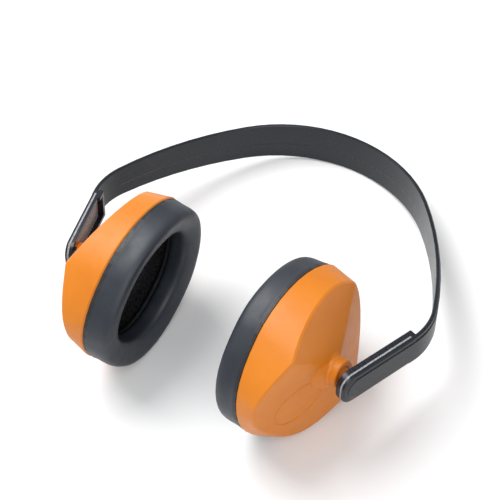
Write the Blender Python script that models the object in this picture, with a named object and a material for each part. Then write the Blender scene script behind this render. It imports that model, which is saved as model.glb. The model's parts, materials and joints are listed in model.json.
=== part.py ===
"""Hearing protection earmuffs: a one-piece sprung headband and two ball-mounted cups.

The muff lies the way it rests on a table: on the lower edges of both cups and on the
crown of the band. X runs from the left cup to the right one, +Y points to the crown
of the band and +Z is up. The origin is on the table, under the middle of the muff.
"""

import math

import bmesh
import bpy
from mathutils import Matrix, Vector

MM = 0.001

# How the band plane leans on the table, and where its own origin then sits.
BAND_PITCH = math.radians(-13.373)
BAND_ROLL = math.radians(-0.543)
FRAME_SHIFT_X = -0.114 * MM
FRAME_SHIFT_Y = -58.316 * MM
FRAME_HEIGHT = 46.595 * MM

# Headband centre line, in the band plane: a straight arm, a tight bend, a flatter side
# and the crown arc that closes it on the middle line.
ARM_FOOT_X = 81.5 * MM
ARM_LEAN = math.radians(18.2)
ARM_LENGTH = 40.7 * MM
BEND_RADIUS = 33.5 * MM
BEND_ANGLE = math.radians(37.7)
SIDE_RADIUS = 189.5 * MM
SIDE_ANGLE = math.radians(23.0)
BEND_STEPS = 9
SIDE_STEPS = 7
CROWN_STEPS = 9

# Band cross-section.
BAND_THICK = 2.0 * MM
CROWN_WIDTH = 22.5 * MM
ARM_WIDTH = 17.2 * MM
PANEL_MARGIN = 3.0 * MM
PANEL_RISE = 0.55 * MM
EDGE_CHAMFER = 0.5 * MM
INNER_RIDGE = 0.3 * MM
RIDGE_AT = 0.06

# Channelled arm that guides the stud foot.
RAIL_WIDTH = 17.2 * MM
RAIL_START = -1.4 * MM
RAIL_END = 46.0 * MM
RAIL_CORNER = 6.4 * MM
WALL = 1.3 * MM
FLOOR_IN = 0.9 * MM
LIP_IN = 2.4 * MM
LOW_WALL_IN = 3.1 * MM
HIGH_WALL_IN = 4.4 * MM
LIP_WIDTH = 0.8 * MM
CHANNEL_START = 0.4 * MM
CHANNEL_END = 43.5 * MM

# Ball centre of the right stud, in the band frame.
BALL_X = 73.4 * MM
BALL_Y = 9.7 * MM
BALL_RADIUS = 4.6 * MM
NECK_RADIUS = 2.0 * MM
FLANGE_RADIUS = 4.4 * MM
FLANGE_THICK = 1.0 * MM
PIN_RADIUS = 2.7 * MM
HEAD_RADIUS = 3.5 * MM
HEAD_THICK = 0.6 * MM

# Slider: a plate behind the channel lips and a collar that the stud's pin turns in.
FOOT_LENGTH = 11.0 * MM
FOOT_THICK = 1.1 * MM
FOOT_WIDTH = 13.8 * MM
FOOT_CORNER = 4.8 * MM
COLLAR_RADIUS = 5.0 * MM
COLLAR_IN = 4.9 * MM

# How each cup hangs on its ball: about the band normal, the long axis and the stud.
CUP_TURN = {"left": (0.3, -4.1, 44.9), "right": (-5.8, -5.9, 39.5)}

# Cup shell: an egg-shaped rim, drafted sides and three flat outer facets. Two roof facets
# cover the crown half and one facet the chin half; they meet in a peak beside the ball.
RIM_LONG = 45.5 * MM
RIM_SHORT = 37.9 * MM
RIM_CROWN_POWER = 1.8
RIM_CHIN_POWER = 2.35
RIM_DEPTH = 26.1 * MM
TOP_CROWN = 42.0 * MM
TOP_CHIN = 41.5 * MM
TOP_SHORT = 35.3 * MM
TOP_CROWN_POWER = 1.8
TOP_CHIN_POWER = 3.2
RIDGE_AT = -5.0 * MM
RIDGE_DEPTH = 20.1 * MM
CROWN_SLOPE = 0.277
CROWN_ROOF = 0.18
CHIN_SLOPE = 0.37
SHELL_WALL = 2.2 * MM
RIM_LIP = 1.6 * MM
AROUND = 40
SOCKET_RADIUS = 7.4 * MM
SOCKET_TOP = 2.6 * MM
SOCKET_MOUTH = 4.3 * MM
BOSS_FOOT_RADIUS = 12.0 * MM

# Cushion, its carrier plate and the foam inside the cup.
PLATE_THICK = 1.6 * MM
SKIRT_INSET = 2.0 * MM
SKIRT_DEEP = 2.6 * MM
CUSHION_THICK = 13.0 * MM
CUSHION_OUTSET = -0.5 * MM
HOLE_LONG = 30.4 * MM
HOLE_SHORT = 24.0 * MM
SKIN = 0.8 * MM

# Running gaps, and how deep the stud's head lies under the slider's face.
GAP = 0.3 * MM
FOOT_GAP = 0.2 * MM
HEAD_SUNK = 0.05 * MM


def clear_scene():
    for obj in list(bpy.data.objects):
        bpy.data.objects.remove(obj, do_unlink=True)


def material(name, colour, roughness, metallic=0.0):
    mat = bpy.data.materials.new(name)
    mat.use_nodes = True
    shader = mat.node_tree.nodes["Principled BSDF"]
    shader.inputs["Base Color"].default_value = (*colour, 1.0)
    shader.inputs["Roughness"].default_value = roughness
    shader.inputs["Metallic"].default_value = metallic
    return mat


def mesh_object(name, bm, mat, parent=None, smooth_angle=28.0, move=None):
    if move is not None:
        bmesh.ops.transform(bm, matrix=move, verts=bm.verts)
    bmesh.ops.recalc_face_normals(bm, faces=bm.faces)
    mesh = bpy.data.meshes.new(name)
    bm.to_mesh(mesh)
    bm.free()
    mesh.materials.append(mat)
    mesh.shade_smooth()
    mesh.set_sharp_from_angle(angle=math.radians(smooth_angle))
    obj = bpy.data.objects.new(name, mesh)
    bpy.context.scene.collection.objects.link(obj)
    obj.parent = parent
    return obj


def cutter(obj):
    obj.hide_render = True
    obj.display_type = "WIRE"
    return obj


def boolean(obj, tool, operation):
    mod = obj.modifiers.new(operation.lower() + "_" + tool.name, "BOOLEAN")
    mod.operation = operation
    mod.solver = "EXACT"
    mod.object = tool
    cutter(tool)


def empty(name, parent, location, rotation=None):
    obj = bpy.data.objects.new(name, None)
    bpy.context.scene.collection.objects.link(obj)
    obj.empty_display_size = 0.01
    obj.parent = parent
    obj.location = location
    if rotation is not None:
        obj.rotation_euler = rotation
    return obj


def skin_rings(bm, rings, cap=True, close=False):
    """Joins rings of points with quads; caps both ends, or closes the last on the first."""
    loops = [[bm.verts.new(p) for p in ring] for ring in rings]
    count = len(loops[0])
    pairs = list(zip(loops, loops[1:]))
    if close:
        pairs.append((loops[-1], loops[0]))
    for low, high in pairs:
        for i in range(count):
            j = (i + 1) % count
            bm.faces.new((low[i], low[j], high[j], high[i]))
    if cap and not close:
        bm.faces.new(loops[0])
        bm.faces.new(loops[-1])
    return loops


# ---------------------------------------------------------------- headband


def band_stations():
    """Centre-line points of the right half as (position, direction), foot of arm to crown."""
    direction = Vector((math.sin(ARM_LEAN), math.cos(ARM_LEAN)))
    point = Vector((ARM_FOOT_X, 0.0)) + direction * (RAIL_END - 4.0 * MM)
    stations = [(point.copy(), direction.copy())]
    point = Vector((ARM_FOOT_X, 0.0)) + direction * (ARM_LENGTH + 4.0 * MM)

    def arc(radius, angle, steps):
        nonlocal point, direction
        for _ in range(steps):
            turn = angle / steps
            side = Vector((-direction.y, direction.x))
            centre = point + side * radius
            arm = point - centre
            arm.rotate(Matrix.Rotation(turn, 2))
            direction.rotate(Matrix.Rotation(turn, 2))
            point = centre + arm
            stations.append((point.copy(), direction.copy()))

    stations.append((point.copy(), direction.copy()))
    arc(BEND_RADIUS, BEND_ANGLE, BEND_STEPS)
    arc(SIDE_RADIUS, SIDE_ANGLE, SIDE_STEPS)
    side = Vector((-direction.y, direction.x))
    crown_radius = -point.x / side.x
    left = math.pi / 2 + ARM_LEAN - BEND_ANGLE - SIDE_ANGLE
    arc(crown_radius, left, CROWN_STEPS)
    return stations


def band_section(width):
    """Section points as (out, up): a flat strip with a raised outer panel and an inner ridge."""
    half = width / 2
    thick = BAND_THICK / 2
    panel = half - PANEL_MARGIN
    ramp = 0.7 * MM
    return [
        (-thick + EDGE_CHAMFER, -half),
        (thick - EDGE_CHAMFER, -half),
        (thick, -half + EDGE_CHAMFER),
        (thick, -panel - ramp),
        (thick + PANEL_RISE, -panel),
        (thick + PANEL_RISE, panel),
        (thick, panel + ramp),
        (thick, half - EDGE_CHAMFER),
        (thick - EDGE_CHAMFER, half),
        (-thick + EDGE_CHAMFER, half),
        (-thick, half - EDGE_CHAMFER),
        (-thick - INNER_RIDGE, width * RIDGE_AT),
        (-thick, -half + EDGE_CHAMFER),
    ]


def build_strip(mat, parent):
    right = band_stations()
    left = []
    for point, direction in reversed(right[:-1]):
        left.append((Vector((-point.x, point.y)), Vector((direction.x, -direction.y))))
    stations = right + left
    run = [0.0]
    for (a, _), (b, _) in zip(stations, stations[1:]):
        run.append(run[-1] + (b - a).length)
    bm = bmesh.new()
    rings = []
    for (point, direction), along in zip(stations, run):
        share = min(along, run[-1] - along) / (run[-1] / 2)
        ease = math.sin(share * math.pi / 2)
        width = ARM_WIDTH + (CROWN_WIDTH - ARM_WIDTH) * ease
        out = Vector((direction.y, -direction.x))
        rings.append(
            [Vector((*(point + out * o), up)) for o, up in band_section(width)]
        )
    skin_rings(bm, rings)
    return mesh_object("headband", bm, mat, parent)


def rail_frame(side):
    """Matrix from rail axes (x along the arm to the crown, y out, z up) to the band frame."""
    along = Vector((side * math.sin(ARM_LEAN), math.cos(ARM_LEAN), 0.0))
    out = Vector((side * math.cos(ARM_LEAN), -math.sin(ARM_LEAN), 0.0))
    foot = Vector((side * ARM_FOOT_X, 0.0, 0.0))
    matrix = Matrix((along, out, Vector((0.0, 0.0, 1.0)))).transposed().to_4x4()
    matrix.translation = foot
    return matrix


def rounded_outline(start, end, half, corner, steps=6):
    """Points (along, up) of a bar with rounded corners at its start end."""
    points = [(end, -half), (end, half)]
    for i in range(steps + 1):
        angle = math.pi / 2 * (1 + i / steps)
        points.append(
            (start + corner + corner * math.cos(angle), half - corner + corner * math.sin(angle))
        )
    for i in range(steps + 1):
        angle = math.pi / 2 * (2 + i / steps)
        points.append(
            (start + corner + corner * math.cos(angle), corner - half + corner * math.sin(angle))
        )
    return points


def prism(outline, levels):
    """A closed solid over an (along, up) outline; levels are (out, inset) pairs."""
    bm = bmesh.new()
    centre = Vector((sum(p[0] for p in outline), sum(p[1] for p in outline))) / len(outline)
    rings = []
    for out, inset in levels:
        ring = []
        for along, up in outline:
            way = Vector((along, up)) - centre
            size = Vector((max(abs(way.x) - inset, 0.0), max(abs(way.y) - inset, 0.0)))
            along_in = centre.x + math.copysign(size.x, way.x)
            up_in = centre.y + math.copysign(size.y, way.y)
            ring.append(Vector((along_in, out, up_in)))
        rings.append(ring)
    skin_rings(bm, rings)
    return bm


def build_rail(side, mat, parent):
    """The channelled arm: a bar whose hollow holds the stud foot behind two lips."""
    name = "left" if side < 0 else "right"
    half = RAIL_WIDTH / 2
    outer = BAND_THICK / 2
    bar = rounded_outline(RAIL_START, RAIL_END, half, RAIL_CORNER)
    levels = [
        (-HIGH_WALL_IN, 0.35 * MM),
        (-HIGH_WALL_IN + 0.35 * MM, 0.0),
        (outer - 1.1 * MM, 0.0),
        (outer - 0.3 * MM, 0.3 * MM),
        (outer + 0.1 * MM, 1.1 * MM),
        (outer + 0.15 * MM, 2.3 * MM),
        (outer + PANEL_RISE + 0.1 * MM, 3.1 * MM),
    ]
    rail = mesh_object(name + "_rail_blank", prism(bar, levels), mat, parent)
    frame = rail_frame(side)
    rail.matrix_local = frame

    inner = half - WALL
    pocket = rounded_outline(CHANNEL_START, CHANNEL_END, inner, RAIL_CORNER - WALL)
    foot_bay = mesh_object(
        name + "_foot_bay",
        prism(pocket, [(-LIP_IN, 0.0), (-FLOOR_IN, 0.0)]),
        mat,
        parent,
    )
    mouth_outline = rounded_outline(
        CHANNEL_START + LIP_WIDTH,
        CHANNEL_END,
        inner - LIP_WIDTH,
        RAIL_CORNER - WALL - LIP_WIDTH,
    )
    mouth = mesh_object(
        name + "_mouth",
        prism(mouth_outline, [(-HIGH_WALL_IN - MM, 0.0), (-LIP_IN + 0.2 * MM, 0.0)]),
        mat,
        parent,
    )
    # The wall that is high on the right arm's upper side is high on the left arm's lower side.
    low_side = -side
    start, stop = RAIL_START - MM, RAIL_END - 5.0 * MM
    low_wall = bmesh.new()
    top = low_side * (half + MM)
    foot = low_side * (inner - LIP_WIDTH - 0.4 * MM)
    deep = -HIGH_WALL_IN - MM
    profile = [(start, deep), (stop, deep), (stop - 1.7 * MM, -LOW_WALL_IN), (start, -LOW_WALL_IN)]
    skin_rings(low_wall, [[Vector((a, o, up)) for a, o in profile] for up in (foot, top)])
    step = mesh_object(name + "_low_wall", low_wall, mat, parent)
    for tool in (foot_bay, mouth, step):
        tool.matrix_local = frame
        boolean(rail, tool, "DIFFERENCE")
    return rail


def build_headband(mat, parent):
    band = build_strip(mat, parent)
    for side in (-1, 1):
        boolean(band, build_rail(side, mat, parent), "UNION")
    return band


# ---------------------------------------------------------------- stud


def turned(profile, steps=24):
    """A solid turned about the X axis from (x, radius) points; end radii of 0 close it."""
    bm = bmesh.new()
    rings = []
    for x, radius in profile[1:-1]:
        ring = []
        for i in range(steps):
            angle = 2 * math.pi * i / steps
            ring.append(Vector((x, radius * math.cos(angle), radius * math.sin(angle))))
        rings.append(ring)
    loops = skin_rings(bm, rings, cap=False)
    for loop, (x, _) in ((loops[0], profile[0]), (loops[-1], profile[-1])):
        tip = bm.verts.new((x, 0.0, 0.0))
        for i in range(steps):
            bm.faces.new((loop[i], loop[(i + 1) % steps], tip))
    return bm


def stud_reach():
    """Distance from the ball centre to the arm's middle plane."""
    out = Vector((math.cos(ARM_LEAN), -math.sin(ARM_LEAN)))
    return (Vector((ARM_FOOT_X, 0.0)) - Vector((BALL_X, BALL_Y))).dot(out)


def square_to_arm(side):
    """Turns a shape made along +X from the ball into the line square to the arm."""
    return Matrix.Diagonal((side, 1.0, 1.0, 1.0)) @ Matrix.Rotation(-ARM_LEAN, 4, "Z")


def build_stud(side, mat, parent):
    """Ball, neck, flange and headed pin, turned on the line square to the arm."""
    name = ("left" if side < 0 else "right") + "_pivot_stud"
    neck_start = math.sqrt(BALL_RADIUS**2 - NECK_RADIUS**2)
    profile = [(-BALL_RADIUS, 0.0)]
    steps = 10
    end_angle = math.acos(-neck_start / BALL_RADIUS)
    for i in range(1, steps + 1):
        angle = end_angle * i / steps
        profile.append((-BALL_RADIUS * math.cos(angle), BALL_RADIUS * math.sin(angle)))
    flange_out = stud_reach() - COLLAR_IN - GAP
    flange_in = flange_out - FLANGE_THICK
    head_out = stud_reach() - LIP_IN + FOOT_GAP + FOOT_THICK - HEAD_SUNK
    head_in = head_out - HEAD_THICK
    profile += [
        (flange_in - 0.3 * MM, NECK_RADIUS),
        (flange_in, FLANGE_RADIUS - 0.6 * MM),
        (flange_in + 0.3 * MM, FLANGE_RADIUS),
        (flange_out, FLANGE_RADIUS),
        (flange_out, PIN_RADIUS),
        (head_in, PIN_RADIUS),
        (head_in, HEAD_RADIUS),
        (head_out, HEAD_RADIUS),
        (head_out, 0.0),
    ]
    return mesh_object(name, turned(profile), mat, parent, move=square_to_arm(side))


def build_slider(side, mat, parent):
    """Plate that runs behind the channel lips, with the collar that carries the stud."""
    name = ("left" if side < 0 else "right") + "_slider"
    foot_in = stud_reach() - LIP_IN + FOOT_GAP
    foot_out = foot_in + FOOT_THICK
    collar_in = stud_reach() - COLLAR_IN
    outline = rounded_outline(
        -FOOT_LENGTH / 2, FOOT_LENGTH / 2, FOOT_WIDTH / 2, FOOT_CORNER, steps=4
    )
    swap_axes = Matrix.Rotation(math.pi / 2, 4, "Z") @ Matrix.Diagonal((1.0, -1.0, 1.0, 1.0))
    turn = square_to_arm(side)
    slider = mesh_object(
        name,
        prism(outline, [(foot_in, 0.0), (foot_out, 0.0)]),
        mat,
        parent,
        move=turn @ swap_axes,
    )
    collar_profile = [
        (collar_in, 0.0),
        (collar_in, COLLAR_RADIUS - 0.5 * MM),
        (collar_in + 0.5 * MM, COLLAR_RADIUS),
        (foot_in + 0.5 * MM, COLLAR_RADIUS),
        (foot_in + 0.5 * MM, 0.0),
    ]
    collar = mesh_object(name + "_collar", turned(collar_profile), mat, parent, move=turn)
    boolean(slider, collar, "UNION")
    seat = foot_out - HEAD_SUNK - HEAD_THICK - GAP
    bore_profile = [
        (collar_in - MM, 0.0),
        (collar_in - MM, PIN_RADIUS + GAP),
        (seat, PIN_RADIUS + GAP),
        (seat, HEAD_RADIUS + GAP),
        (foot_out + MM, HEAD_RADIUS + GAP),
        (foot_out + MM, 0.0),
    ]
    bore = mesh_object(name + "_bore", turned(bore_profile), mat, parent, move=turn)
    boolean(slider, bore, "DIFFERENCE")
    return slider


# ---------------------------------------------------------------- cup


def oval(long_half, short_half, crown=RIM_CROWN_POWER, chin=RIM_CHIN_POWER):
    """Egg-shaped loop of (along, across) points; the crown end and the chin end differ."""
    points = []
    for i in range(AROUND):
        angle = 2 * math.pi * i / AROUND
        c, s = math.cos(angle), math.sin(angle)
        power = crown if c > 0 else chin
        along = long_half * math.copysign(abs(c) ** (2 / power), c)
        across = short_half * math.copysign(abs(s) ** (2 / power), s)
        points.append((along, across))
    return points


def facet_depth(along, across):
    """Height of the outer facets over the rim plane."""
    past_ridge = along - RIDGE_AT
    from_edge = TOP_SHORT - abs(across)
    crown = RIDGE_DEPTH - CROWN_SLOPE * past_ridge + CROWN_ROOF * from_edge
    chin = RIDGE_DEPTH + CHIN_SLOPE * past_ridge
    return min(crown, chin)


def facet_outline(inset, drop):
    """Edge of the outer facets, as (along, across, depth) points in step with the rim's."""
    edge = []
    for along, across in oval(1.0, TOP_SHORT - inset, TOP_CROWN_POWER, TOP_CHIN_POWER):
        reach = TOP_CROWN - RIDGE_AT if along > 0 else TOP_CHIN + RIDGE_AT
        along = RIDGE_AT + along * (reach - inset)
        edge.append((along, across, facet_depth(along, across) - drop))
    return edge


def cup_solid(inset, drop, floor, side):
    """Outer or inner form of the cup as a closed mesh, rim plane at the cup's open end."""
    bm = bmesh.new()

    def put(along, across, depth):
        return bm.verts.new((side * (depth - RIM_DEPTH), along, across))

    rim = [put(a, c, floor) for a, c in oval(RIM_LONG - inset, RIM_SHORT - inset)]
    top = [put(*p) for p in facet_outline(inset, drop)]
    peak_at = RIDGE_AT + CROWN_ROOF * TOP_SHORT / (CROWN_SLOPE + CHIN_SLOPE)
    peak = put(peak_at, 0.0, facet_depth(peak_at, 0.0) - drop)
    for i in range(AROUND):
        j = (i + 1) % AROUND
        bm.faces.new((rim[i], rim[j], top[j], top[i]))
    bm.faces.new(rim)
    quarter = AROUND // 4
    bm.faces.new(top[: quarter + 1] + [peak])
    bm.faces.new(top[quarter : 3 * quarter + 1] + [peak])
    bm.faces.new(top[3 * quarter :] + [top[0], peak])
    return bm


def build_shell(side, mat, parent):
    name = ("left" if side < 0 else "right") + "_cup_shell"
    shell = mesh_object(name, cup_solid(0.0, 0.0, -RIM_LIP, side), mat, parent, 12.0)
    bevel = shell.modifiers.new("softened_edges", "BEVEL")
    bevel.width = 0.7 * MM
    bevel.segments = 1
    bevel.limit_method = "ANGLE"
    bevel.angle_limit = math.radians(11.0)

    # Flared boss under the ball, from the facets to the socket collar.
    base = facet_depth(0.0, 0.0)
    boss_profile = [
        (base - 8.0 * MM, 0.0),
        (base - 8.0 * MM, BOSS_FOOT_RADIUS),
        (base - 3.6 * MM, BOSS_FOOT_RADIUS),
        (base - 0.6 * MM, 10.2 * MM),
        (base + 1.0 * MM, 8.0 * MM),
        (base + 2.2 * MM, SOCKET_RADIUS + 0.5 * MM),
        (base + 3.0 * MM, SOCKET_RADIUS),
        (RIM_DEPTH + SOCKET_TOP - 0.5 * MM, SOCKET_RADIUS),
        (RIM_DEPTH + SOCKET_TOP, SOCKET_RADIUS - 0.5 * MM),
        (RIM_DEPTH + SOCKET_TOP, 0.0),
    ]
    boss = turned([(side * (x - RIM_DEPTH), r) for x, r in boss_profile], 32)
    boss = mesh_object(name + "_boss", boss, mat, parent)
    boolean(shell, boss, "UNION")

    inner = mesh_object(
        name + "_hollow",
        cup_solid(SHELL_WALL, SHELL_WALL, -RIM_LIP - MM, side),
        mat,
        parent,
    )
    boolean(shell, inner, "DIFFERENCE")

    ball = BALL_RADIUS + GAP
    bowl_profile = [(-ball, 0.0)]
    mouth_x = math.sqrt(ball**2 - SOCKET_MOUTH**2)
    steps = 8
    stop = math.acos(-mouth_x / ball)
    for i in range(1, steps + 1):
        angle = stop * i / steps
        bowl_profile.append((-ball * math.cos(angle), ball * math.sin(angle)))
    bowl_profile += [
        (SOCKET_TOP + 0.1 * MM, SOCKET_MOUTH + 0.3 * MM),
        (SOCKET_TOP + MM, SOCKET_MOUTH + 0.6 * MM),
        (SOCKET_TOP + MM, 0.0),
    ]
    bowl = turned([(side * x, r) for x, r in bowl_profile], 24)
    bowl = mesh_object(name + "_bowl", bowl, mat, parent)
    boolean(shell, bowl, "DIFFERENCE")
    return shell


def ring_of(sections, side):
    """A closed ring round the cup; each section point is an oval's half axes and its depth."""
    bm = bmesh.new()
    rings = []
    for (long_half, short_half), depth in sections:
        ring = []
        for along, across in oval(long_half, short_half):
            ring.append(Vector((side * (depth - RIM_DEPTH), along, across)))
        rings.append(ring)
    skin_rings(bm, rings, close=True)
    return bm


def build_plate(side, mat, parent):
    """Carrier plate that the cushion is welded to; its skirt snaps into the shell."""
    name = ("left" if side < 0 else "right") + "_cushion_plate"
    out = (RIM_LONG - 0.6 * MM, RIM_SHORT - 0.6 * MM)
    skirt = (RIM_LONG - SHELL_WALL - SKIRT_INSET, RIM_SHORT - SHELL_WALL - SKIRT_INSET)
    skirt_in = (skirt[0] - 1.2 * MM, skirt[1] - 1.2 * MM)
    hole = (HOLE_LONG + 1.5 * MM, HOLE_SHORT + 1.5 * MM)
    back = -RIM_LIP - GAP
    sections = [
        (out, back),
        (skirt, back),
        (skirt, back + SKIRT_DEEP),
        (skirt_in, back + SKIRT_DEEP),
        (skirt_in, back),
        (hole, back),
        (hole, back - PLATE_THICK),
        (out, back - PLATE_THICK),
    ]
    return mesh_object(name, ring_of(sections, side), mat, parent)


def cushion_levels(shrink):
    """Rounded section of the cushion from its back outer edge over the front to the hole."""
    base = -RIM_LIP - GAP - PLATE_THICK - GAP
    front = base - CUSHION_THICK + shrink
    outer = (RIM_LONG + CUSHION_OUTSET - shrink, RIM_SHORT + CUSHION_OUTSET - shrink)
    hole = (HOLE_LONG + shrink, HOLE_SHORT + shrink)
    steps = 4
    levels = [((outer[0] - 1.2 * MM, outer[1] - 1.2 * MM), base)]
    levels.append((outer, base - 3.2 * MM))
    crest_long = (outer[0] + hole[0]) / 2
    crest_short = (outer[1] + hole[1]) / 2
    outer_turn = base - 6.0 * MM
    for i in range(steps + 1):
        angle = math.pi / 2 * i / steps
        levels.append(
            (
                (
                    crest_long + (outer[0] - crest_long) * math.cos(angle),
                    crest_short + (outer[1] - crest_short) * math.cos(angle),
                ),
                outer_turn + (front - outer_turn) * math.sin(angle),
            )
        )
    inner_turn = base - 7.5 * MM
    for i in range(1, steps + 1):
        angle = math.pi / 2 * (1 + i / steps)
        levels.append(
            (
                (
                    crest_long + (crest_long - hole[0]) * math.cos(angle),
                    crest_short + (crest_short - hole[1]) * math.cos(angle),
                ),
                inner_turn + (front - inner_turn) * math.sin(angle),
            )
        )
    levels.append((hole, base))
    return levels


def build_cushion(side, skin_mat, foam_mat, parent):
    name = "left" if side < 0 else "right"
    outer = cushion_levels(0.0)
    inner = cushion_levels(SKIN)
    cover = mesh_object(
        name + "_cushion_cover",
        ring_of(outer + inner[::-1], side),
        skin_mat,
        parent,
        40.0,
    )
    foam_levels = cushion_levels(SKIN + GAP)
    foam = mesh_object(
        name + "_cushion_foam", ring_of(foam_levels, side), foam_mat, parent, 40.0
    )
    return cover, foam


def build_liner(side, mat, parent):
    """Sound-absorbing foam pad that fills the bottom of the shell."""
    name = ("left" if side < 0 else "right") + "_foam_liner"
    inset = SHELL_WALL + 2.2 * MM
    drop = SHELL_WALL + 6.6 * MM
    foot = [(a, c, 2.6 * MM) for a, c in oval(RIM_LONG - inset, RIM_SHORT - inset)]
    crest = [(a, c, max(d, 4.2 * MM)) for a, c, d in facet_outline(inset, drop)]
    bm = bmesh.new()
    rings = []
    for loop in (foot, crest):
        rings.append([Vector((side * (d - RIM_DEPTH), a * 0.93, c * 0.93)) for a, c, d in loop])
    skin_rings(bm, rings)
    return mesh_object(name, bm, mat, parent)


# ---------------------------------------------------------------- assembly


def main():
    clear_scene()
    black = material("band_black", (0.012, 0.014, 0.018), 0.34)
    orange = material("shell_orange", (0.72, 0.24, 0.035), 0.42)
    plate = material("plate_black", (0.015, 0.016, 0.018), 0.5)
    skin = material("cushion_black", (0.022, 0.026, 0.033), 0.46)
    foam = material("foam_grey", (0.05, 0.05, 0.055), 0.95)
    frame = empty(
        "muff_frame",
        None,
        (FRAME_SHIFT_X, FRAME_SHIFT_Y, FRAME_HEIGHT),
        (BAND_PITCH, BAND_ROLL, 0.0),
    )
    build_headband(black, frame)
    for side in (-1, 1):
        name = "left" if side < 0 else "right"
        place = (side * BALL_X, BALL_Y, 0.0)
        slide = empty(name + "_slide", frame, place)
        build_slider(side, orange, slide)
        build_stud(side, orange, slide)
        turn, tilt, roll = (math.radians(v) for v in CUP_TURN[name])
        pose = Matrix.Rotation(turn, 3, "Z") @ Matrix.Rotation(tilt, 3, "Y")
        pose = pose @ Matrix.Rotation(roll, 3, "X")
        if side < 0:
            flip = Matrix.Diagonal((-1.0, 1.0, 1.0))
            pose = flip @ pose @ flip
        cup = empty(name + "_cup_pivot", frame, place, pose.to_euler())
        build_shell(side, orange, cup)
        build_plate(side, plate, cup)
        build_cushion(side, skin, foam, cup)
        build_liner(side, foam, cup)


main()
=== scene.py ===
"""Looks of the hearing protection earmuffs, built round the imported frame.

Each cup's own axes are measured from its cushion plate: X out of the cup away from the
head, Y along the cup to its crown end, Z across it, with the origin on the shell's rim.
"""

import json
import math

import bmesh
import bpy
import numpy as np
from mathutils import Matrix, Vector, noise


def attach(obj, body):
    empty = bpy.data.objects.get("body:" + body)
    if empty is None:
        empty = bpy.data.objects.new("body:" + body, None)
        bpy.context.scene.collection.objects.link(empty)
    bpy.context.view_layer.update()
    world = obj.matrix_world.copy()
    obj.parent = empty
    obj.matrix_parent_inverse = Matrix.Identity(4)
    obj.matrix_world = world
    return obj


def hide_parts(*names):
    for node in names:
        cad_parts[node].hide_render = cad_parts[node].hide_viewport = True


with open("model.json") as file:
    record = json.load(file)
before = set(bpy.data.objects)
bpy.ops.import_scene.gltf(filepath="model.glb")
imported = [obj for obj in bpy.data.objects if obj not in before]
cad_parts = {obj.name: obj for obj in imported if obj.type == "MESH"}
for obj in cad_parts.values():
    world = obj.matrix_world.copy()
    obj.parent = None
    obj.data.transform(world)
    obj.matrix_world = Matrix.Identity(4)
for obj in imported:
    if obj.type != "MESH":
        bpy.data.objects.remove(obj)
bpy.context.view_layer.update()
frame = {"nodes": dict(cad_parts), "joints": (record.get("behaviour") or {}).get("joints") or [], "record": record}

MM = 0.001
SIDES = ("left", "right")

# Camera: where it stands, how it is turned, and its lens.
CAMERA_PLACE = (0.25512, -0.30426, 0.60393)
CAMERA_TURN = (34.50, 6.23, 32.04)
CAMERA_LENS = 97.1

# Cushion: wall section from its outer foot over the front to the hole, as (share of the
# wall's width from the outside, share of its thickness), and the cloth's settings.
CUSHION_SECTION = (
    (-0.02, -0.1), (-0.03, 0.0), (-0.012, 0.1), (0.0, 0.3), (0.0, 0.52), (0.008, 0.7),
    (0.035, 0.84), (0.09, 0.94), (0.17, 0.99), (0.27, 1.0), (0.4, 0.975), (0.53, 0.94),
    (0.66, 0.9), (0.78, 0.855), (0.88, 0.805), (0.95, 0.735), (0.988, 0.63), (1.0, 0.5),
    (1.0, 0.25), (1.0, 0.0), (0.75, 0.0), (0.5, 0.0), (0.2, 0.0),
)
CUSHION_AROUND = 132
CUSHION_SHRINK = 0.5 * MM
CUSHION_CAP = 0.9 * MM
CLOTH_FRAMES = 20
CLOTH_PRESSURE = 4.0
PLATE_TOP = 0.7 * MM

# Depth inside the shell that the foam's raised edge reaches, along its wall.
LINER_LIP = 1.4 * MM
LINER_AROUND = 72

# Gathers and wander of the cushion's skin.
GATHER_DEEP = 0.10 * MM
WANDER_DEEP = 0.22 * MM
GATHERS = ((31.0, 0.0, 0.6), (53.0, 1.3, 0.4))

# Egg shape of the cup's rim: superellipse powers at the crown end and at the chin end.
CROWN_POWER = 1.8
CHIN_POWER = 2.35

# Rounding of hard edges: width, and the smallest angle in degrees that is rounded.
BAND_EDGE = (0.35 * MM, 24.0)
SHELL_EDGE = (0.55 * MM, 11.0)
STUD_EDGE = (0.15 * MM, 30.0)
EDGE_SEGMENTS = 3
WELD_REACH = 0.00001

# Oval line on each chin facet: its half axes, and half its width and its rise.
MARK_LONG = 14.5 * MM
MARK_SHORT = 12.5 * MM
MARK_HALF_WIDTH = 0.5 * MM
MARK_RISE = 0.3 * MM
MARK_AROUND = 96
MARK_SIDES = 8

# Arms and band: how far past the slider its channel runs, and the line on the band's
# inner face as a share of the width and as half of its step's run.
CHANNEL_RUN = 31.0 * MM
LINE_SHARE = 0.43
LINE_HALF = 0.2 * MM

# Lights: place, size and power. They all look at the same point.
LOOK_AT = (0.0, 0.0, 0.03)
KEY_LIGHT = ((-0.5, 0.15, 0.95), (0.7, 0.7), 11.5)
FRONT_LIGHT = ((0.5, -0.5, 0.9), (0.8, 0.8), 5.0)
SKY_COLOUR = (0.97, 0.98, 1.0)
SKY_POWER = 0.5


# ---------------------------------------------------------------- frame helpers


def vertices_of(node):
    """The node's vertices, one per row."""
    mesh = frame["nodes"][node].data
    points = np.empty(len(mesh.vertices) * 3)
    mesh.vertices.foreach_get("co", points)
    return points.reshape(-1, 3)


def flat_normal(node):
    """Direction that the node's flat faces share, from their areas."""
    spread = np.zeros((3, 3))
    for face in frame["nodes"][node].data.polygons:
        normal = np.array(face.normal)
        spread += face.area * np.outer(normal, normal)
    return np.linalg.eigh(spread)[1][:, 2]


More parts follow.
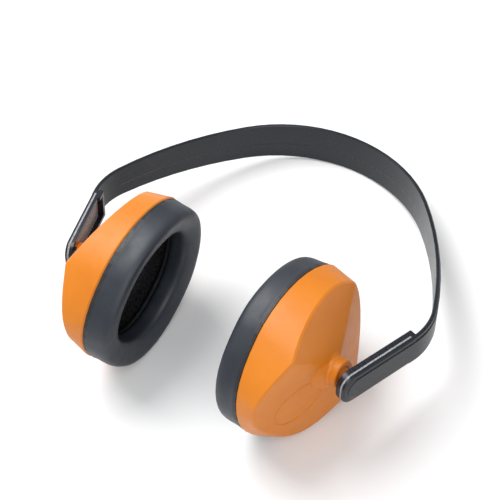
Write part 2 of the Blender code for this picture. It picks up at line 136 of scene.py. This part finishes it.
def cup_axes(name):
    """Matrix from a cup's own axes to the frame."""
    points = vertices_of(name + "_cushion_plate")
    out = flat_normal(name + "_cushion_plate")
    shell = vertices_of(name + "_cup_shell").mean(0)
    if (shell - points.mean(0)) @ out < 0:
        out = -out
    flat = points - np.outer(points @ out, out)
    along = np.linalg.eigh(np.cov((flat - flat.mean(0)).T))[1][:, 2]
    if along[1] < 0:
        along = -along
    across = np.cross(out, along)
    axes = np.stack([out, along, across], axis=1)
    own = points @ axes
    middle = (own.min(0) + own.max(0)) / 2
    middle[0] = own[:, 0].max() - PLATE_TOP
    matrix = Matrix(axes.tolist()).to_4x4()
    matrix.translation = Vector(axes @ middle)
    return matrix


def in_cup(name, node):
    """The node's vertices in its cup's own axes."""
    matrix = np.array(CUPS[name].inverted())
    return vertices_of(node) @ matrix[:3, :3].T + matrix[:3, 3]


CUPS = {name: cup_axes(name) for name in SIDES}


def add_mesh(name, bm, mats, smooth_angle=40.0):
    """Object from a bmesh, shaded smooth up to an angle."""
    bmesh.ops.recalc_face_normals(bm, faces=bm.faces)
    mesh = bpy.data.meshes.new(name)
    bm.to_mesh(mesh)
    bm.free()
    for mat in mats:
        mesh.materials.append(mat)
    mesh.shade_smooth()
    mesh.set_sharp_from_angle(angle=math.radians(smooth_angle))
    obj = bpy.data.objects.new(name, mesh)
    bpy.context.scene.collection.objects.link(obj)
    return obj


def skin(bm, rings, closed=False, caps=False):
    """Quads between rings of points, closed round each ring."""
    loops = [[bm.verts.new(p) for p in ring] for ring in rings]
    pairs = list(zip(loops, loops[1:]))
    if closed:
        pairs.append((loops[-1], loops[0]))
    count = len(loops[0])
    for low, high in pairs:
        for i in range(count):
            j = (i + 1) % count
            bm.faces.new((low[i], low[j], high[j], high[i]))
    if caps:
        bm.faces.new(loops[0])
        bm.faces.new(loops[-1])
    return loops


def apply_modifiers(obj):
    """Replaces the object's mesh with what its modifiers make of it."""
    graph = bpy.context.evaluated_depsgraph_get()
    mesh = bpy.data.meshes.new_from_object(obj.evaluated_get(graph))
    old = obj.data
    obj.modifiers.clear()
    obj.data = mesh
    bpy.data.meshes.remove(old)


# ---------------------------------------------------------------- materials


class Nodes:
    """Short names for building one material's node tree."""

    def __init__(self, name):
        self.mat = bpy.data.materials.new(name)
        self.mat.use_nodes = True
        self.tree = self.mat.node_tree
        self.shader = self.tree.nodes["Principled BSDF"]
        self.place = self.node("ShaderNodeTexCoord").outputs["Object"]

    def node(self, kind, **settings):
        made = self.tree.nodes.new(kind)
        for key, value in settings.items():
            setattr(made, key, value)
        return made

    def link(self, source, target):
        self.tree.links.new(source, target)

    def noise(self, scale, detail=3.0, rough=0.5, stretch=None):
        made = self.node("ShaderNodeTexNoise")
        made.inputs["Scale"].default_value = scale
        made.inputs["Detail"].default_value = detail
        made.inputs["Roughness"].default_value = rough
        source = self.place
        if stretch:
            mapping = self.node("ShaderNodeMapping")
            mapping.inputs["Scale"].default_value = stretch
            self.link(source, mapping.inputs["Vector"])
            source = mapping.outputs["Vector"]
        self.link(source, made.inputs["Vector"])
        return made.outputs["Fac"]

    def cells(self, scale, feature="F1"):
        made = self.node("ShaderNodeTexVoronoi", feature=feature)
        made.inputs["Scale"].default_value = scale
        self.link(self.place, made.inputs["Vector"])
        return made.outputs["Distance"]

    def along(self, way):
        """Distance of the shaded point along a direction."""
        dot = self.node("ShaderNodeVectorMath", operation="DOT_PRODUCT")
        self.link(self.place, dot.inputs[0])
        dot.inputs[1].default_value = way
        return dot.outputs["Value"]

    def ramp(self, source, stops):
        made = self.node("ShaderNodeValToRGB")
        ramp = made.color_ramp
        while len(ramp.elements) < len(stops):
            ramp.elements.new(0.5)
        for element, (at, colour) in zip(ramp.elements, stops):
            element.position = at
            element.color = (*colour, 1.0)
        self.link(source, made.inputs["Fac"])
        return made.outputs["Color"]

    def span(self, source, low, high, start=0.0, end=1.0):
        made = self.node("ShaderNodeMapRange")
        made.inputs["From Min"].default_value = start
        made.inputs["From Max"].default_value = end
        made.inputs["To Min"].default_value = low
        made.inputs["To Max"].default_value = high
        self.link(source, made.inputs["Value"])
        return made.outputs["Result"]

    def maths(self, operation, first, second=None, third=None):
        made = self.node("ShaderNodeMath", operation=operation)
        for socket, value in zip(made.inputs, (first, second, third)):
            if isinstance(value, (int, float)):
                socket.default_value = value
            elif value is not None:
                self.link(value, socket)
        return made.outputs["Value"]

    def mix(self, share, first, second):
        made = self.node("ShaderNodeMix", data_type="RGBA")
        self.link(share, made.inputs["Factor"])
        for socket, value in ((made.inputs[6], first), (made.inputs[7], second)):
            if isinstance(value, tuple):
                socket.default_value = (*value, 1.0)
            else:
                self.link(value, socket)
        return made.outputs[2]

    def bump(self, height, distance, strength=1.0, under=None):
        made = self.node("ShaderNodeBump")
        made.inputs["Strength"].default_value = strength
        made.inputs["Distance"].default_value = distance
        self.link(height, made.inputs["Height"])
        if under is not None:
            self.link(under, made.inputs["Normal"])
        return made.outputs["Normal"]

    def finish(self, **sockets):
        for key, value in sockets.items():
            socket = self.shader.inputs[key.replace("_", " ")]
            if isinstance(value, tuple):
                socket.default_value = (*value, 1.0)
            elif isinstance(value, (int, float)):
                socket.default_value = value
            else:
                self.link(value, socket)
        return self.mat


def orange_plastic():
    """Moulded shell plastic: flow-mottled orange with a fine eroded grain."""
    n = Nodes("orange_moulded")
    flow = n.noise(38.0, 4.0, 0.55)
    dust = n.noise(900.0, 2.0, 0.6)
    tones = [(0.3, (0.60, 0.170, 0.005)), (0.5, (0.635, 0.188, 0.007)), (0.72, (0.665, 0.204, 0.010))]
    colour = n.ramp(flow, tones)
    specks = n.span(dust, 0.0, 0.16, 0.62, 0.78)
    colour = n.mix(specks, colour, (0.52, 0.142, 0.007))
    wear = n.noise(160.0, 5.0, 0.65)
    gloss = n.span(wear, 0.36, 0.5, 0.3, 0.7)
    grain = n.bump(n.noise(2600.0, 2.0, 0.5), 0.00003, 0.35)
    sink = n.bump(n.noise(30.0, 1.0, 0.4), 0.0006, 0.18, under=grain)
    return n.finish(Base_Color=colour, Roughness=gloss, Normal=sink, Specular_IOR_Level=0.45)


def arm_floor_mask(n):
    """1 on the floors of the two channelled arms, where the mould is spark-eroded and where a painted highlight
    makes them pale.
    """
    masks = []
    for name in SIDES:
        depth = n.along(ARM_OUT[name])
        reach = n.along(ARM_WAY[name])
        near = n.maths("COMPARE", depth, ARM_FLOOR[name], 0.45 * MM)
        inside = n.maths("LESS_THAN", reach, ARM_REACH[name])
        masks.append(n.maths("MULTIPLY", near, inside))
    return n.maths("MAXIMUM", masks[0], masks[1])


def band_plastic():
    """Semi-gloss black nylon: faint drag lines, a duller bloom in patches, and a pale speckle on the channel
    floors that is painted highlight over a spark-eroded grain.
    """
    n = Nodes("band_moulded")
    bloom = n.noise(24.0, 4.0, 0.6)
    colour = n.ramp(bloom, [(0.3, (0.007, 0.009, 0.014)), (0.7, (0.012, 0.015, 0.021))])
    drag = n.noise(700.0, 2.0, 0.5, stretch=(1.0, 0.25, 4.0))
    gloss = n.maths("ADD", n.span(bloom, 0.22, 0.31, 0.3, 0.7), n.span(drag, 0.0, 0.05, 0.4, 0.7))
    floors = arm_floor_mask(n)
    # Channel floors: the speckle is the spark-eroded grain; its paleness is painted light standing in for light
    # catching the floors.
    tones = [(0.38, (0.15, 0.155, 0.165)), (0.62, (0.44, 0.45, 0.47))]
    spark_speckle_painted_light = n.ramp(n.noise(1500.0, 2.0, 0.7), tones)
    colour = n.mix(floors, colour, spark_speckle_painted_light)
    gloss = n.maths("ADD", gloss, n.maths("MULTIPLY", floors, 0.25))
    skin_bump = n.bump(n.noise(1500.0, 2.0, 0.5), 0.00003, 0.3)
    across = n.along(BAND_NORMAL)
    step = n.span(across, 0.0, 1.0, BAND_LINE - LINE_HALF, BAND_LINE + LINE_HALF)
    curved = n.span(n.along((0.0, 1.0, 0.0)), 0.0, 1.0, 0.0, 20.0 * MM)
    land = n.bump(n.maths("MULTIPLY", step, curved), 0.0012, 1.0, under=skin_bump)
    return n.finish(Base_Color=colour, Roughness=gloss, Normal=land, Specular_IOR_Level=0.38)


def plate_plastic():
    """Dull black plastic of the cushion's carrier plate."""
    n = Nodes("plate_moulded")
    colour = n.ramp(n.noise(60.0), [(0.3, (0.010, 0.011, 0.013)), (0.7, (0.017, 0.018, 0.020))])
    gloss = n.span(n.noise(300.0), 0.42, 0.58, 0.3, 0.7)
    grain = n.bump(n.noise(1800.0), 0.00004, 0.5)
    return n.finish(Base_Color=colour, Roughness=gloss, Normal=grain)


def cushion_skin():
    """Soft vinyl with a fine leather grain that is duller where it is handled."""
    n = Nodes("cushion_vinyl")
    tone = n.noise(45.0, 4.0, 0.6)
    tones = [(0.3, (0.012, 0.016, 0.024)), (0.55, (0.016, 0.021, 0.030)), (0.75, (0.021, 0.027, 0.037))]
    colour = n.ramp(tone, tones)
    gloss = n.span(n.noise(120.0, 4.0, 0.6), 0.42, 0.56, 0.3, 0.7)
    pebble = n.bump(n.cells(1300.0), 0.00005, 0.35)
    folds = n.bump(n.noise(260.0, 3.0, 0.5), 0.0001, 0.25, under=pebble)
    return n.finish(Base_Color=colour, Roughness=gloss, Normal=folds, Specular_IOR_Level=0.55)


def foam():
    """Open-cell foam: dark pores between paler struts."""
    n = Nodes("foam_cells")
    cells = n.cells(620.0)
    tones = [(0.05, (0.030, 0.030, 0.033)), (0.5, (0.012, 0.012, 0.014)), (0.8, (0.004, 0.004, 0.005))]
    colour = n.ramp(cells, tones)
    pores = n.bump(cells, 0.0004, 0.9)
    return n.finish(Base_Color=colour, Roughness=0.95, Normal=pores, Specular_IOR_Level=0.2)


def floor_paper():
    """Pale matt paper under the muff."""
    n = Nodes("paper_floor")
    colour = n.ramp(n.noise(6.0), [(0.3, (0.86, 0.86, 0.86)), (0.7, (0.88, 0.88, 0.88))])
    return n.finish(Base_Color=colour, Roughness=0.9, Specular_IOR_Level=0.1)


def floor_depth(out, way, reach):
    """How far out the largest face of the arm lies that looks at the cup."""
    found = {}
    mesh = frame["nodes"]["headband"].data
    for face in mesh.polygons:
        if face.normal.dot(out) < -0.999 and face.center.dot(way) < reach:
            depth = round(face.center.dot(out), 5)
            found[depth] = found.get(depth, 0.0) + face.area
    return max(found, key=found.get)


# Each arm's outward and crownward directions, how far out its channel floor lies and how
# far towards the crown it reaches, from the joints.
ARM_OUT = {}
ARM_WAY = {}
ARM_FLOOR = {}
ARM_REACH = {}
joints = {joint["name"]: joint for joint in frame["joints"]}
for name in SIDES:
    slider = vertices_of(name + "_slider")
    ARM_OUT[name] = Vector(joints[name + "_stud_twist"]["axis"])
    ARM_WAY[name] = Vector(joints[name + "_height_slide"]["axis"])
    ARM_REACH[name] = float((slider @ np.array(ARM_WAY[name])).max() + CHANNEL_RUN)
    ARM_FLOOR[name] = floor_depth(ARM_OUT[name], ARM_WAY[name], ARM_REACH[name])


# The band's own plane, and where the land on its inner face ends across the width.
BAND_NORMAL = Vector(joints["right_ball_swing"]["axis"])
BAND_HEIGHTS = vertices_of("headband") @ np.array(BAND_NORMAL)
BAND_LINE = float(BAND_HEIGHTS.min() + LINE_SHARE * (BAND_HEIGHTS.max() - BAND_HEIGHTS.min()))


# ---------------------------------------------------------------- soft pieces


def egg(long_half, short_half, count):
    """Loop of (along, across) points round a cup."""
    points = []
    for i in range(count):
        angle = 2 * math.pi * i / count
        c, s = math.cos(angle), math.sin(angle)
        power = CROWN_POWER if c > 0 else CHIN_POWER
        along = long_half * math.copysign(abs(c) ** (2 / power), c)
        across = short_half * math.copysign(abs(s) ** (2 / power), s)
        points.append((along, across))
    return points


def cushion_size(name):
    """Outer half axes, hole half axes, and the depths of the foot and the front."""
    own = in_cup(name, name + "_cushion_cover")
    outer = (own[:, 1].max(), own[:, 2].max())
    slim = 1.5 * MM
    hole_long = np.abs(own[np.abs(own[:, 2]) < slim, 1]).min()
    hole_short = np.abs(own[np.abs(own[:, 1]) < slim, 2]).min()
    return outer, (hole_long, hole_short), own[:, 0].max(), own[:, 0].min()


def swell(obj, pinned):
    """Inflates the cushion a little with cloth pressure and keeps the result."""
    start = np.array([v.co for v in obj.data.vertices])
    group = obj.vertex_groups.new(name="pinned")
    group.add(pinned, 1.0, "REPLACE")
    cloth = obj.modifiers.new("swell", "CLOTH")
    cloth.settings.use_pressure = True
    cloth.settings.uniform_pressure_force = CLOTH_PRESSURE
    cloth.settings.effector_weights.gravity = 0.0
    cloth.settings.vertex_group_mass = "pinned"
    cloth.settings.quality = 6
    cloth.point_cache.frame_start = 1
    cloth.point_cache.frame_end = CLOTH_FRAMES
    scene = bpy.context.scene
    for step in range(1, CLOTH_FRAMES + 1):
        scene.frame_set(step)
    apply_modifiers(obj)
    scene.frame_set(1)
    end = np.array([v.co for v in obj.data.vertices])
    move = end - start
    length = np.linalg.norm(move, axis=1, keepdims=True)
    end = start + move * np.minimum(1.0, CUSHION_CAP / np.maximum(length, 1e-9))
    obj.data.vertices.foreach_set("co", end.ravel())


def build_cushion(name, mat):
    """Soft ring that stands for the cushion's cover and the foam in it."""
    outer, hole, foot, front = cushion_size(name)
    outer = [v - CUSHION_SHRINK for v in outer]
    hole = [v + CUSHION_SHRINK * 0.5 for v in hole]
    front += CUSHION_SHRINK
    bm = bmesh.new()
    rings = []
    for width_share, thick_share in CUSHION_SECTION:
        long_half = outer[0] + (hole[0] - outer[0]) * width_share
        short_half = outer[1] + (hole[1] - outer[1]) * width_share
        depth = foot + (front - foot) * thick_share
        ring = [Vector((depth, a, c)) for a, c in egg(long_half, short_half, CUSHION_AROUND)]
        rings.append([CUPS[name] @ p for p in ring])
    skin(bm, rings, closed=True)
    cushion = add_mesh(name + "_ear_cushion", bm, [mat], 180.0)
    pinned = []
    for k, (_, thick_share) in enumerate(CUSHION_SECTION):
        if thick_share <= 0.0:
            pinned += range(k * CUSHION_AROUND, (k + 1) * CUSHION_AROUND)
    swell(cushion, pinned)
    pucker(cushion, name, foot, front)
    smooth = cushion.modifiers.new("smooth", "SUBSURF")
    smooth.levels = 1
    smooth.render_levels = 1
    apply_modifiers(cushion)
    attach(cushion, name + "_cup")
    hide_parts(name + "_cushion_cover", name + "_cushion_foam")


def pucker(cushion, name, foot, front):
    """Small gathers in the skin at its welded foot, and a slight wander all over."""
    to_cup = CUPS[name].inverted()
    for vertex in cushion.data.vertices:
        own = to_cup @ vertex.co
        turn = math.atan2(own.z, own.y)
        height = (own.x - foot) / (front - foot)
        gather = sum(math.sin(turn * waves + shift) * share for waves, shift, share in GATHERS)
        wander = noise.noise(own * 90.0)
        near_foot = max(0.0, 1.0 - height / 0.3)
        amount = GATHER_DEEP * gather * near_foot + WANDER_DEEP * wander
        way = Vector((0.0, own.y, own.z)).normalized()
        if height > 0.02:
            own += way * amount
        vertex.co = CUPS[name] @ own


def build_liner(name, mat):
    """Crowned foam pad with an uneven cut face towards the ear."""
    own = in_cup(name, name + "_foam_liner")
    long_half, short_half = own[:, 1].max(), own[:, 2].max()
    face, back = own[:, 0].min(), own[:, 0].max()
    bm = bmesh.new()
    rings = []
    crown = (back - face) * 0.55
    shares = [(0.86, crown), (0.93, 0.7 * crown), (1.0, 0.3 * crown), (1.06, LINER_LIP - face)]
    shares += [(1.0, LINER_LIP - face), (0.96, (LINER_LIP - face) * 0.6), (0.91, 0.0)]
    shares += [(0.9 - 0.12 * k, 0.0) for k in range(1, 8)]
    for size, deeper in shares:
        depth = face + deeper
        outline = egg(long_half * size, short_half * size, LINER_AROUND)
        rings.append([Vector((depth, a, c)) for a, c in outline])
    for ring in rings:
        for point in ring:
            lump = noise.noise(point * 120.0) * 0.5 + noise.noise(point * 420.0) * 0.25
            point.x += lump * MM * 0.8
    placed = [[CUPS[name] @ p for p in ring] for ring in rings]
    skin(bm, placed, caps=True)
    liner = add_mesh(name + "_liner_foam", bm, [mat], 60.0)
    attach(liner, name + "_cup")
    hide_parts(name + "_foam_liner")


# ---------------------------------------------------------------- hard details


def round_edges(node, edge):
    """Joins the node's split corners for shading and rounds its sharp edges."""
    obj = frame["nodes"][node]
    split = obj.data.attributes.get("custom_normal")
    if split is not None:
        obj.data.attributes.remove(split)
    obj.data.shade_smooth()
    weld = obj.modifiers.new("weld", "WELD")
    weld.merge_threshold = WELD_REACH
    bevel = obj.modifiers.new("rounded", "BEVEL")
    bevel.width, angle = edge
    bevel.segments = EDGE_SEGMENTS
    bevel.limit_method = "ANGLE"
    bevel.angle_limit = math.radians(angle)
    bevel.harden_normals = True
    bevel.use_clamp_overlap = True


def dress(node, mat):
    """Gives a solid its one material."""
    mesh = frame["nodes"][node].data
    mesh.materials.clear()
    mesh.materials.append(mat)


def build_mark(name, mat):
    """Plain raised oval line on the chin facet of a shell."""
    mount = next(m for m in frame["record"]["mounts"] if m["name"] == name + "_cup_facet")
    normal = Vector(mount["axis"])
    along = CUPS[name].to_3x3() @ Vector((0.0, 1.0, 0.0))
    along = (along - normal * along.dot(normal)).normalized()
    across = normal.cross(along)
    centre = Vector(mount["pos_m"])
    bm = bmesh.new()
    rings = []
    for i in range(MARK_AROUND):
        angle = 2 * math.pi * i / MARK_AROUND
        spot = along * math.cos(angle) * MARK_LONG + across * math.sin(angle) * MARK_SHORT
        out = spot.normalized()
        ring = []
        for k in range(MARK_SIDES):
            turn = 2 * math.pi * k / MARK_SIDES
            wide = out * MARK_HALF_WIDTH * math.cos(turn)
            ring.append(centre + spot + wide + normal * MARK_RISE * math.sin(turn))
        rings.append(ring)
    skin(bm, rings, closed=True)
    mark = add_mesh(name + "_oval_mark", bm, [mat], 180.0)
    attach(mark, name + "_cup")


# ---------------------------------------------------------------- stage


def area_light(name, place, size, power):
    """Rectangular lamp that looks at the muff."""
    data = bpy.data.lights.new(name, "AREA")
    data.shape = "RECTANGLE"
    data.size, data.size_y = size
    data.energy = power
    obj = bpy.data.objects.new(name, data)
    bpy.context.scene.collection.objects.link(obj)
    obj.location = place
    way = Vector(LOOK_AT) - Vector(place)
    obj.rotation_euler = way.to_track_quat("-Z", "Y").to_euler()


def build_stage():
    """Floor, sky, lamps and camera."""
    bm = bmesh.new()
    bmesh.ops.create_grid(bm, x_segments=1, y_segments=1, size=3.0)
    floor = add_mesh("floor", bm, [floor_paper()])

    world = bpy.data.worlds.new("studio")
    bpy.context.scene.world = world
    world.use_nodes = True
    sky = world.node_tree.nodes["Background"]
    sky.inputs["Color"].default_value = (*SKY_COLOUR, 1.0)
    sky.inputs["Strength"].default_value = SKY_POWER

    area_light("key", *KEY_LIGHT)
    area_light("front", *FRONT_LIGHT)

    data = bpy.data.cameras.new("camera")
    data.lens = CAMERA_LENS
    data.sensor_width = 36.0
    data.clip_start = 0.01
    camera = bpy.data.objects.new("camera", data)
    camera.location = CAMERA_PLACE
    camera.rotation_euler = [math.radians(v) for v in CAMERA_TURN]
    bpy.context.scene.collection.objects.link(camera)
    bpy.context.scene.camera = camera
    bpy.context.scene.view_settings.view_transform = "Standard"


def main():
    build_stage()
    orange, black, plate = orange_plastic(), band_plastic(), plate_plastic()
    vinyl, cells = cushion_skin(), foam()
    dress("headband", black)
    round_edges("headband", BAND_EDGE)
    for name in SIDES:
        for node in ("_cup_shell", "_pivot_stud", "_slider"):
            dress(name + node, orange)
        dress(name + "_cushion_plate", plate)
        round_edges(name + "_cup_shell", SHELL_EDGE)
        round_edges(name + "_pivot_stud", STUD_EDGE)
        build_cushion(name, vinyl)
        build_liner(name, cells)
        build_mark(name, orange)


main()
